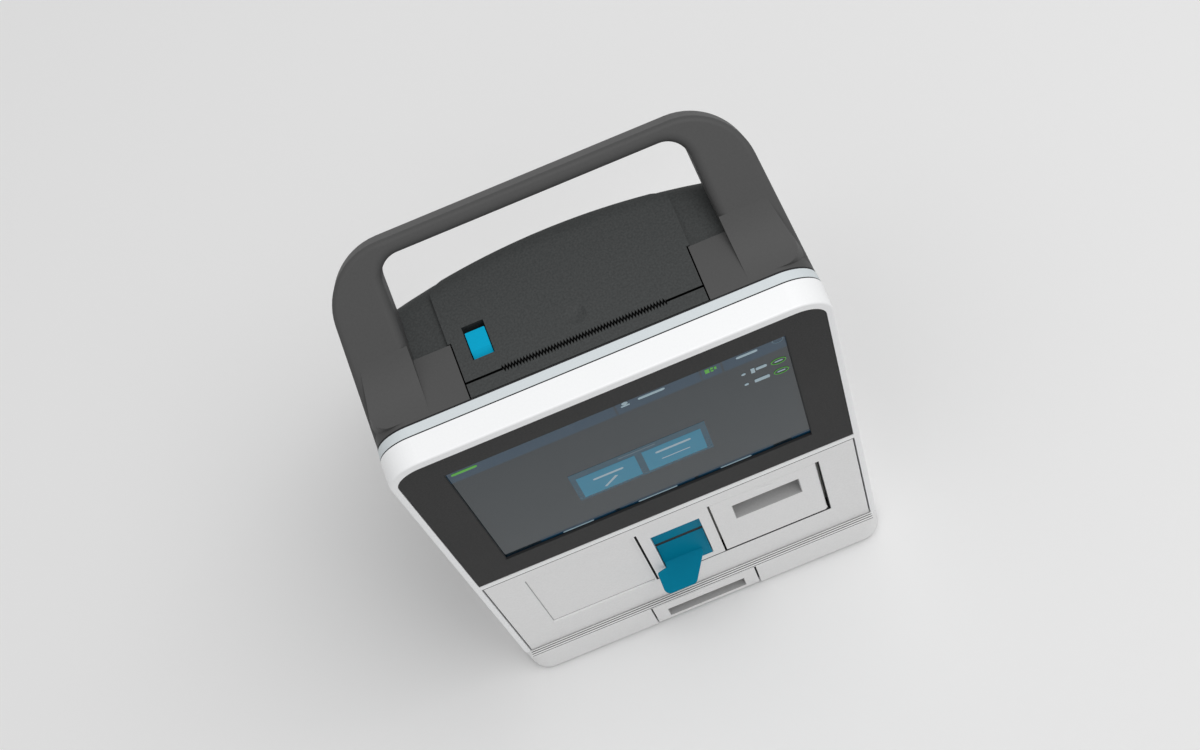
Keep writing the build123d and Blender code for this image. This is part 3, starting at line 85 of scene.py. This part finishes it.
def vary(tree, shader, colour, field, spread):
    """Base colour that wanders a little either side of its mean."""
    ramp = tree.nodes.new("ShaderNodeValToRGB")
    low = [c * (1 - spread) for c in colour]
    high = [min(c * (1 + spread), 1) for c in colour]
    ramp.color_ramp.elements[0].position = 0.3
    ramp.color_ramp.elements[0].color = (*low, 1)
    ramp.color_ramp.elements[1].position = 0.7
    ramp.color_ramp.elements[1].color = (*high, 1)
    tree.links.new(field, ramp.inputs["Fac"])
    tree.links.new(ramp.outputs["Color"], shader.inputs["Base Color"])


def rough_range(tree, shader, field, low, high):
    span = tree.nodes.new("ShaderNodeMapRange")
    span.inputs["To Min"].default_value = low
    span.inputs["To Max"].default_value = high
    tree.links.new(field, span.inputs["Value"])
    tree.links.new(span.outputs["Result"], shader.inputs["Roughness"])


def bump(tree, shader, field, strength, distance):
    node = tree.nodes.new("ShaderNodeBump")
    node.inputs["Strength"].default_value = strength
    node.inputs["Distance"].default_value = distance
    tree.links.new(field, node.inputs["Height"])
    tree.links.new(node.outputs["Normal"], shader.inputs["Normal"])


def moulded(name, hexa, rough, grain=900.0, relief=0.25, spread=0.05, coat=0.0, specular=0.5):
    """Injection-moulded plastic: spark texture, faint mottling, uneven sheen."""
    colour = linear(hexa)
    mat, tree, shader = principled(name, colour, rough, Coat_Weight=coat, Coat_Roughness=0.25,
                                   Specular_IOR_Level=specular)
    fine = noise(tree, grain, 3.0)
    broad = noise(tree, 14.0, 3.0)
    vary(tree, shader, colour, fine, spread)
    rough_range(tree, shader, broad, rough - 0.04, rough + 0.05)
    if relief > 0:
        bump(tree, shader, fine, relief, 0.0002)
    return mat


def metal(name, hexa, rough, stretch=(1, 1, 1), grain=300.0):
    colour = linear(hexa)
    mat, tree, shader = principled(name, colour, rough, Metallic=1.0)
    field = noise(tree, grain, 4.0, stretch)
    vary(tree, shader, colour, field, 0.08)
    rough_range(tree, shader, field, rough - 0.06, rough + 0.1)
    bump(tree, shader, field, 0.1, 0.0001)
    return mat


def lit(name, hexa, strength, rough=0.1, specular=0.5):
    """A lit mark on the display, behind the gloss of the cover glass."""
    colour = linear(hexa)
    mat, tree, shader = principled(name, colour, rough, Emission_Strength=strength)
    shader.inputs["Emission Color"].default_value = (*colour, 1)
    shader.inputs["Specular IOR Level"].default_value = specular
    vary(tree, shader, colour, noise(tree, 400.0), 0.03)
    return mat


GLASS_SPEC = 0.17
MATS = {
    "white_moulding": moulded("white_moulding", "f8f9fa", 0.35, relief=0.02, spread=0.01, coat=0.15),
    "pale_strip": moulded("pale_strip", "d3dadd", 0.5, relief=0.05, spread=0.02),
    "grey_smooth": moulded("grey_smooth", "4f4f4f", 0.55, relief=0.06, spread=0.03, specular=0.2),
    "grey_textured": moulded("grey_textured", "404242", 0.62, relief=0.6, spread=0.18, specular=0.2),
    "fascia_grey": moulded("fascia_grey", "3b3b3b", 0.6, relief=0.4, spread=0.14, specular=0.06),
    "screen_glass": lit("screen_glass", "1c2930", 0.0, rough=0.08, specular=GLASS_SPEC),
    "display": lit("display", "4b4f52", 0.2),
    "light_grey": moulded("light_grey", "efefef", 0.5, relief=0.25, spread=0.03),
    "inlet_blue": moulded("inlet_blue", "007f9e", 0.5, relief=0.05, spread=0.02, specular=0.04),
    "button_blue": moulded("button_blue", "00a4cc", 0.5, relief=0.03, spread=0.02, specular=0.08),
    "black_rubber": moulded("black_rubber", "1c1c1e", 0.8, relief=0.4, spread=0.1),
    "black_plastic": moulded("black_plastic", "1a1b1d", 0.55, relief=0.3, spread=0.08),
    "steel": metal("steel", "b4b7ba", 0.28, (1, 12, 12)),
    "zinc_sheet": metal("zinc_sheet", "a9adb0", 0.42, grain=60.0),
    "board_green": moulded("board_green", "2f5f3a", 0.45, relief=0.4, grain=300.0, spread=0.2),
    "ivory_plastic": moulded("ivory_plastic", "dcdcd4", 0.5, relief=0.15, spread=0.03),
    "paper_white": moulded("paper_white", "eeece6", 0.8, relief=0.4, grain=2000.0, spread=0.03),
}
for part in frame["record"]["subparts"]:
    obj = nodes[part["node"]]
    obj.data.materials.clear()
    obj.data.materials.append(MATS[part["material_slot"]])
nodes["hatch_hinge_pins"].data.materials[0] = metal("blackened_steel", "232325", 0.5)


# ------------------------------------------------------------------ mesh helpers
def outline(x0, x1, z0, z1, r=0.0, steps=6):
    """Corner points of a rounded rectangle in the plane of the front, in millimetres."""
    if r <= 0:
        return [(x0, z0), (x1, z0), (x1, z1), (x0, z1)]
    points = []
    for cx, cz, start in ((x1 - r, z0 + r, -90), (x1 - r, z1 - r, 0),
                          (x0 + r, z1 - r, 90), (x0 + r, z0 + r, 180)):
        for i in range(steps + 1):
            a = math.radians(start + 90 * i / steps)
            points.append((cx + r * math.cos(a), cz + r * math.sin(a)))
    return points


def ellipse(cx, cz, rx, rz, steps=28):
    return [(cx + rx * math.cos(2 * math.pi * i / steps),
             cz + rz * math.sin(2 * math.pi * i / steps)) for i in range(steps)]


def thin_plates(name, shapes, y_back, thick, mat, body):
    """Flat shapes as one object, standing on y_back towards the viewer. Each shape is an outline
    or a pair of outlines, the second a hole."""
    bm = bmesh.new()
    for shape in shapes:
        holed = isinstance(shape[0][0], tuple)
        outer, inner = shape if holed else (shape, None)
        front = [bm.verts.new((x * MM, (y_back - thick) * MM, z * MM)) for x, z in outer]
        back = [bm.verts.new((x * MM, y_back * MM, z * MM)) for x, z in outer]
        n = len(outer)
        for i in range(n):
            bm.faces.new((front[i], front[(i + 1) % n], back[(i + 1) % n], back[i]))
        if inner is None:
            bm.faces.new(front)
            bm.faces.new(back[::-1])
        else:
            front_in = [bm.verts.new((x * MM, (y_back - thick) * MM, z * MM)) for x, z in inner]
            back_in = [bm.verts.new((x * MM, y_back * MM, z * MM)) for x, z in inner]
            for i in range(n):
                j = (i + 1) % n
                bm.faces.new((front[i], front_in[i], front_in[j], front[j]))
                bm.faces.new((back[i], back[j], back_in[j], back_in[i]))
                bm.faces.new((front_in[i], back_in[i], back_in[j], front_in[j]))
    bmesh.ops.recalc_face_normals(bm, faces=bm.faces)
    mesh = bpy.data.meshes.new(name)
    bm.to_mesh(mesh)
    bm.free()
    obj = bpy.data.objects.new(name, mesh)
    bpy.context.scene.collection.objects.link(obj)
    obj.data.materials.append(mat)
    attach(obj, body)
    return obj


# ------------------------------------------------------------------ screen picture
glass_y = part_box("touch_glass")[0][1] / MM
window_low, window_high = 216.9, 370.9
header_low, tab_top = 353.5, 222.0


def bar(cx, cz, wide, high):
    """A place where the screen has a word, as a plain rounded bar."""
    return outline(cx - wide / 2, cx + wide / 2, cz - high / 2, cz + high / 2, high * 0.45, 4)


def screen():
    dark = lit("screen_dark_blue", "0a3045", 0.3, specular=GLASS_SPEC)
    frame_blue = lit("screen_frame_blue", "0c3c4e", 0.3, specular=GLASS_SPEC)
    tile = lit("screen_tile_blue", "006a86", 0.3, specular=GLASS_SPEC)
    white = lit("screen_white", "889ca5", 0.3, specular=GLASS_SPEC)
    dim = lit("screen_dim", "445a66", 0.3, specular=GLASS_SPEC)
    green = lit("screen_green", "429524", 0.3, specular=GLASS_SPEC)
    header = [outline(-94.6, -1.0, header_low, window_high), outline(0.0, 46.6, header_low, window_high),
              outline(47.6, 58.4, header_low, window_high), outline(59.4, 94.6, header_low, window_high)]
    tabs = [outline(-72.0, -26.0, window_low, tab_top), outline(-23.0, 23.2, window_low, tab_top),
            outline(25.5, 71.8, window_low, tab_top), outline(83.0, 94.6, window_low, tab_top)]
    thin_plates("screen_bars", header + tabs, glass_y, 0.1, dark, "case")
    thin_plates("screen_start_panel", [outline(-40.2, 40.0, 255.4, 298.4)], glass_y, 0.1,
                frame_blue, "case")
    thin_plates("screen_tiles", [outline(-37.0, -2.4, 258.6, 290.0), outline(1.7, 36.5, 258.6, 290.0)],
                glass_y, 0.16, tile, "case")
    marks = [bar(-19.6, 279.6, 18, 2.6), bar(19.2, 281.6, 21, 2.6), bar(19.2, 269.6, 17, 1.2),
             bar(19.8, 364.2, 15, 2.8), bar(73.0, 364.2, 12, 2.8)]
    marks += [outline(2.6, 7.6, 361.6, 363.4, 0.6, 3), ellipse(5.1, 365.6, 1.7, 1.9)]
    marks += [bar(68.2, 339.4, 2.4, 2.4), bar(68.2, 324.6, 2.4, 2.4)]
    marks += [bar(88.0, z, 4.6, 1.1) for z in (338.6, 324.2)]
    marks += [outline(72.4, 74.6, 336.4, 342.6, 0.4, 3), outline(75.2, 81.4, 338.2, 341.4, 0.8, 3),
              outline(72.8, 81.4, 322.4, 326.2, 0.8, 3)]
    marks += [bar(-49.0, 218.9, 19, 1.5), bar(0.2, 218.9, 24, 1.5), bar(48.6, 218.9, 19, 1.5)]
    syringe = [(-24.6, 263.4), (-23.4, 262.2), (-15.0, 272.0), (-16.6, 273.4)]
    marks.append(syringe)
    thin_plates("screen_marks", marks, glass_y, 0.22, white, "case")
    thin_plates("screen_dim_marks", [bar(-0.4, 294.8, 22, 1.6)], glass_y, 0.18, dim, "case")
    rings = [(ellipse(88.0, z, 4.3, 3.6), ellipse(88.0, z, 3.9, 3.15)) for z in (338.6, 324.2)]
    rings += [bar(-85.0, 364.0, 14.5, 3.0), outline(49.6, 52.0, 360.6, 365.8),
              outline(52.6, 54.2, 363.4, 365.8), outline(52.6, 54.2, 360.6, 362.4),
              outline(54.8, 56.0, 361.8, 365.2)]
    thin_plates("screen_green_marks", rings, glass_y, 0.22, green, "case")
    # Painted shade: a dark navy strip along the window's lower edge stands in for the shade of the recessed
    # glass edge.
    foot = lit("screen_foot_shade", "00131f", 0.3, rough=0.5, specular=0.02)
    thin_plates("screen_foot_shade", [outline(-94.6, 94.6, window_low - 0.4, window_low + 1.2)], glass_y, 0.15,
                foot, "case")
    ring = (ellipse(90.4, 366.2, 3.3, 3.6), ellipse(90.4, 366.2, 2.7, 2.9))
    thin_plates("screen_ring", [ring], glass_y, 0.18, dim, "case")


screen()


# ------------------------------------------------------------------ painted shade: dark strips in gaps and grooves, finger-slot shade trays
front_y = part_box("front_panel")[0][1] / MM
panel_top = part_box("front_panel")[1][2] / MM


def slot_shade_tray(name, x0, x1, z0, z1, y_front, deep, mat, body):
    """Open tray of painted shade that lines a finger slot: its walls and bed are painted darker than the
    face, for the shadow inside the slot.
    """
    wall = 0.4
    loops = []
    for inset, y in ((0, y_front), (0, y_front + deep), (wall, y_front), (wall, y_front + deep - wall)):
        loops.append([(x * MM, y * MM, z * MM)
                      for x, z in outline(x0 + inset, x1 - inset, z0 + inset, z1 - inset)])
    bm = bmesh.new()
    front, back, rim, bed = ([bm.verts.new(p) for p in loop] for loop in loops)
    for i in range(4):
        j = (i + 1) % 4
        for low, high in ((front, back), (rim, front), (bed, rim)):
            bm.faces.new((low[i], low[j], high[j], high[i]))
    bm.faces.new(back)
    bm.faces.new(bed[::-1])
    bmesh.ops.recalc_face_normals(bm, faces=bm.faces)
    mesh = bpy.data.meshes.new(name)
    bm.to_mesh(mesh)
    bm.free()
    obj = bpy.data.objects.new(name, mesh)
    bpy.context.scene.collection.objects.link(obj)
    obj.data.materials.append(mat)
    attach(obj, body)


def arch(half, low, high, r, steps=10):
    """Outline with rounded upper corners."""
    points = [(-half, low), (half, low)]
    for side, start in ((1, 0), (-1, 90)):
        for i in range(steps + 1):
            a = math.radians(start + 90 * i / steps)
            points.append((side * (half - r) + r * math.cos(a), high - r + r * math.sin(a)))
    return points


def trims():
    black = MATS["black_rubber"]
    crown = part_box("front_frame")[1][2] / MM
    # Painted shade: black rings in the two grooves of the white hoop stand in for the shadow in those
    # grooves.
    for name, half, y_back, wide in (("front_seam_shade", 121.8, 15.68, 0.66), ("rear_seam_shade", 121.2, 21.98, 0.96)):
        ring = (arch(half, 38.6, crown - 0.15, 19.85), arch(half - 1.2, 39.8, crown - 1.35, 18.65))
        thin_plates(name, [ring], front_y + y_back, wide, black, "case")
    # Painted shade: a black ring round the display window stands in for the shade at the edge of the
    # recessed glass.
    window = (outline(-94.95, 94.95, window_low - 0.35, window_high + 0.35),
              outline(-94.6, 94.6, window_low, window_high))
    thin_plates("window_edge_shade", [window], glass_y, 1.5, black, "case")
    # Painted shade: a black strip in the gap over the front panel's top edge stands in for the shadow in
    # that gap.
    thin_plates("panel_gap_shade", [outline(-117.1, 117.1, panel_top + 0.05, panel_top + 0.95)],
                front_y + 2.0, 1.95, black, "case")
    # Painted shade: a black ring in the gap round the inlet aperture stands in for the shadow in that gap.
    aperture = (outline(-24.05, 94.15, 76.25, 169.75), outline(-23.65, 93.75, 76.65, 169.35))
    thin_plates("aperture_gap_shade", [aperture], front_y + 4.9, 4.6, black, "case")
    # Painted shade: black plates in the slit above the inlet flap and on the flap's top stand in for the
    # shadow under the shroud.
    slit = outline(-15.5, 15.5, 123.66, 127.0)
    thin_plates("slit_shade", [slit], front_y + 5.6, 0.67, black, "case")
    thin_plates("flap_top_shade", [outline(-15.1, 15.1, 122.5, 122.55)], front_y + 8.0, 2.9, black,
                "flap")
    # Painted shade: a darker grey border on the left, top and bottom of the label recess stands in for the
    # shading at its edges.
    field = [outline(-94.2, -93.7, 76.2, 169.8), outline(-93.7, -25.1, 76.2, 76.7),
             outline(-93.7, -25.1, 169.3, 169.8)]
    edge = moulded("field_border_shade", "a2a2a2", 0.6, relief=0.1, spread=0.03)
    thin_plates("label_field_border_shade", field, front_y + 1.2, 0.06, edge, "case")
    # Painted shade: dark grey strips in the grooves of the ribbed strip stand in for the shadow in those
    # grooves.
    groove = moulded("groove_shade", "6e6e6e", 0.6, relief=0.2, spread=0.05)
    strip_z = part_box("ribbed_strip")[1][2] / MM - 0.8
    for i, (y_back, wide) in enumerate(((-4.05, 0.33), (-2.65, 0.7), (-1.25, 0.7), (-0.22, 0.33))):
        thin_plates("rib_groove_%d" % i, [outline(-118.0, 118.0, strip_z, strip_z + 0.06)],
                    front_y + y_back, wide, groove, "case")
    # Painted shade: mid-grey trays in the finger slots of the hatch and the drawer stand in for the shadow
    # inside the slots.
    shade = moulded("slot_shade", "b4b4b4", 0.6, relief=0.25, spread=0.05)
    slot_shade_tray("hatch_slot_shade_tray", 36.6, 80.0, 127.4, 153.4, front_y + 0.55, 11.6, shade, "hatch")
    slot_shade_tray("drawer_slot_shade_tray", -26.7, 26.7, 8.8, 24.6, front_y - 4.35, 11.6, shade, "drawer")


trims()


TOOTH_PITCH, TOOTH_DEPTH, TOOTH_HALF = 1.7, 2.2, 45.05
TEAR_Y, TEAR_GAP, CUT_RIM = 30.0, 1.3, 0.7


def maths(tree, operation, *values):
    """A Math node; each value is a number or another node's output."""
    node = tree.nodes.new("ShaderNodeMath")
    node.operation = operation
    for socket, value in zip(node.inputs, values):
        if isinstance(value, (int, float)):
            socket.default_value = value
        else:
            tree.links.new(value, socket)
    return node.outputs["Value"]


def cut_shade(node, top, rear):
    """The toothed cut of a piece is painted black as shade: its walls, and a fine rim along the teeth, for
    the dark gap at the tear edge.
    """
    mat = nodes[node].data.materials[0].copy()
    mat.name = node + "_cut_shade"
    tree = mat.node_tree
    shader = tree.nodes["Principled BSDF"]
    plain = shader.inputs["Base Color"].links[0].from_socket
    split = tree.nodes.new("ShaderNodeSeparateXYZ")
    tree.links.new(tree.nodes.new("ShaderNodeTexCoord").outputs["Object"], split.inputs["Vector"])
    x, y, z = (split.outputs[axis] for axis in "XYZ")
    walls = maths(tree, "MULTIPLY", maths(tree, "LESS_THAN", z, (top - 0.25) * MM),
                  maths(tree, "LESS_THAN", y, (front_y + TEAR_Y + 3.2) * MM))
    wave = maths(tree, "PINGPONG", maths(tree, "ADD", x, (TOOTH_HALF + TOOTH_PITCH / 4) * MM),
                 TOOTH_PITCH / 2 * MM)
    wave = maths(tree, "SUBTRACT", wave, TOOTH_PITCH / 4 * MM)
    wave = maths(tree, "MULTIPLY", wave, 2 * TOOTH_DEPTH / TOOTH_PITCH)
    along = maths(tree, "SUBTRACT", y, wave)
    if rear:
        rim = maths(tree, "LESS_THAN", along, (front_y + TEAR_Y + TEAR_GAP + CUT_RIM) * MM)
    else:
        rim = maths(tree, "GREATER_THAN", along, (front_y + TEAR_Y - CUT_RIM) * MM)
    inside = maths(tree, "LESS_THAN", maths(tree, "ABSOLUTE", x), TOOTH_HALF * MM)
    dark = maths(tree, "MAXIMUM", walls, maths(tree, "MULTIPLY", rim, inside))
    mix = tree.nodes.new("ShaderNodeMix")
    mix.data_type = "RGBA"
    mix.inputs[7].default_value = (0.002, 0.002, 0.002, 1)
    tree.links.new(dark, mix.inputs[0])
    tree.links.new(plain, mix.inputs[6])
    tree.links.new(mix.outputs[2], shader.inputs["Base Color"])
    nodes[node].data.materials[0] = mat


# Painted shade: the toothed cut between the printer cover and the tear bar is painted black, for the dark
# gap at the tear edge.
for toothed in ("printer_cover", "tear_bar"):
    cut_shade(toothed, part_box("tear_bar")[1][2] / MM, toothed == "printer_cover")


# ------------------------------------------------------------------ floor, light and camera
def floor():
    mesh = bpy.data.meshes.new("floor")
    s = 4.0
    mesh.from_pydata([(-s, -s, 0), (s, -s, 0), (s, s, 0), (-s, s, 0)], [], [(0, 1, 2, 3)])
    obj = bpy.data.objects.new("floor", mesh)
    bpy.context.scene.collection.objects.link(obj)
    mat, tree, shader = principled("floor_pale", linear("f4f4f4"), 0.8)
    obj.data.materials.append(mat)


def area_light(name, place, aim, size, power, colour=(1, 1, 1)):
    data = bpy.data.lights.new(name, "AREA")
    data.shape = "RECTANGLE"
    data.size, data.size_y = size
    data.energy = power
    data.color = colour
    obj = bpy.data.objects.new(name, data)
    obj.location = place
    obj.rotation_euler = (Vector(aim) - Vector(place)).to_track_quat("-Z", "Y").to_euler()
    bpy.context.scene.collection.objects.link(obj)
    return obj


def world(level):
    scene_world = bpy.data.worlds.new("soft_room")
    scene_world.use_nodes = True
    back = scene_world.node_tree.nodes["Background"]
    back.inputs["Color"].default_value = (1, 1, 1, 1)
    back.inputs["Strength"].default_value = level
    bpy.context.scene.world = scene_world


def camera():
    """The photograph's viewpoint, found from the object's own right angles."""
    place = Vector((32.2, -574.72, 1489.0)) * MM
    right = Vector((0.9242, -0.3412, -0.1717))
    down = Vector((-0.3809, -0.8556, -0.3504))
    ahead = Vector((-0.0273, 0.3892, -0.9207))
    data = bpy.data.cameras.new("photo_camera")
    data.sensor_fit = "HORIZONTAL"
    data.sensor_width = 36.0
    data.lens = 70.5
    data.clip_start = 0.02
    data.clip_end = 50.0
    obj = bpy.data.objects.new("photo_camera", data)
    turn = Matrix((right, -down, -ahead)).transposed()
    obj.matrix_world = Matrix.Translation(place) @ turn.to_4x4()
    bpy.context.scene.collection.objects.link(obj)
    bpy.context.scene.camera = obj


floor()
world(0.50)
area_light("key", (0.55, -0.3, 2.35), (0, 0, 0.25), (1.5, 1.5), 25)
camera()
bpy.context.scene.view_settings.view_transform = "Standard"
